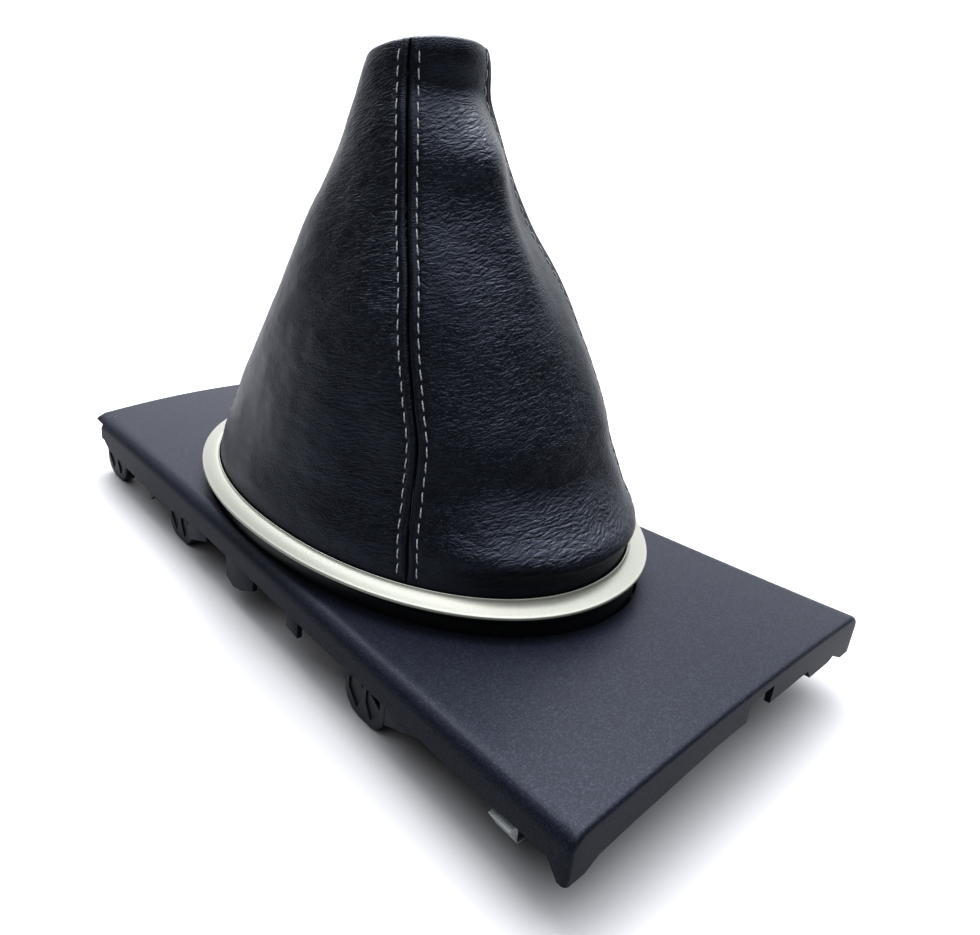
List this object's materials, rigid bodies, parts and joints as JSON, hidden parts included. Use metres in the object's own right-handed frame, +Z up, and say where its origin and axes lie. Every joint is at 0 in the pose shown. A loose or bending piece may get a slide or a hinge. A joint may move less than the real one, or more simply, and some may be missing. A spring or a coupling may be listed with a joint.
{
  "type": "gear lever gaiter",
  "caption": "Tapered leather gaiter in an oval satin ring on a long crowned console panel with push-in clips below.",
  "frame": {"origin": "middle of the bounding box at its bottom, the level of the clips' feet", "axes": "+X along the console panel towards its wide end, +Y across it to the right seen from the wide end's left corner, +Z up"},
  "size_m": [0.2852, 0.149, 0.1844],
  "materials": {
    "painted_panel": "dark blue-grey pearl paint, soft sheen",
    "clip_plastic": "plain moulded, slightly worn",
    "plated_steel": "dull zinc plating",
    "satin_ring": "satin off-white silver paint",
    "black_plastic": "black, smooth",
    "black_leather": "black with a fine grain and soft wrinkles",
    "grey_thread": "light grey twisted sewing thread"
  },
  "bodies": {
    "root": {"console_panel": "painted_panel", "panel_clip_left_1": "clip_plastic", "panel_clip_left_2": "clip_plastic", "panel_clip_left_3": "clip_plastic", "panel_clip_right_1": "clip_plastic", "panel_clip_right_2": "clip_plastic", "panel_clip_right_3": "clip_plastic", "spring_clip_left": "plated_steel", "spring_clip_right": "plated_steel", "trim_ring": "satin_ring", "gaiter_carrier": "black_plastic", "hem_clamp": "black_plastic", "clamp_screw_1": "plated_steel", "clamp_screw_2": "plated_steel", "clamp_screw_3": "plated_steel", "clamp_screw_4": "plated_steel", "gaiter_front": "black_leather", "gaiter_right": "black_leather", "gaiter_back": "black_leather", "gaiter_left": "black_leather", "stitch_row_front_left": "grey_thread", "stitch_row_front_right": "grey_thread", "stitch_row_right_front": "grey_thread", "stitch_row_right_back": "grey_thread", "stitch_row_back_right": "grey_thread", "stitch_row_back_left": "grey_thread", "stitch_row_left_back": "grey_thread", "stitch_row_left_front": "grey_thread"}
  },
  "joints": []
}
